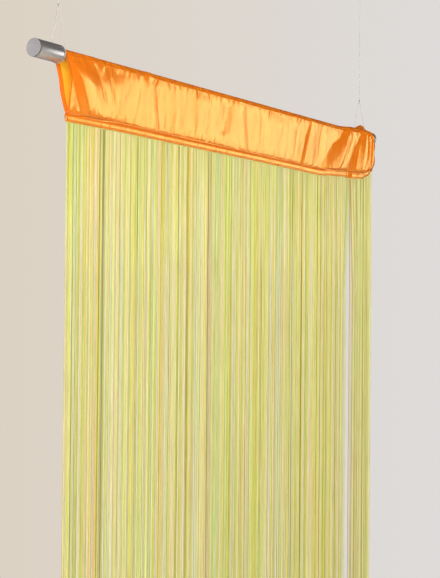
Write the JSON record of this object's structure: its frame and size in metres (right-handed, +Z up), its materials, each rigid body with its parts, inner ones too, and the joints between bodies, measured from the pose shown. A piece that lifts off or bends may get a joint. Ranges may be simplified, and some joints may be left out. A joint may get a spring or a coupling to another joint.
{
  "type": "string curtain on a rod",
  "caption": "Curtain of fine hanging strings with an orange satin heading, slipped over a metal rod with drum finials and hung from the ceiling on clear nylon lines.",
  "frame": {"origin": "on the ceiling, midway between the two nylon lines that the rod hangs from", "axes": "+X along the rod, +Y away from the side that the picture shows, +Z up"},
  "size_m": [1.0746, 0.0319, 2.282],
  "materials": {
    "brushed_steel": "satin",
    "pale_steel": "fine brushed",
    "satin": "glossy satin weave",
    "yarn": "matte twisted yarn in greens, yellows and creams",
    "nylon": "clear",
    "white_metal": "satin"
  },
  "bodies": {
    "root": {"rod": "brushed_steel", "finial_left": "brushed_steel", "finial_right": "brushed_steel", "finial_cap_left": "pale_steel", "finial_cap_right": "pale_steel", "heading": "satin", "string_fringe": "yarn", "line_left": "nylon", "line_right": "nylon", "ceiling_fitting_left": "white_metal", "ceiling_fitting_right": "white_metal"}
  },
  "joints": []
}
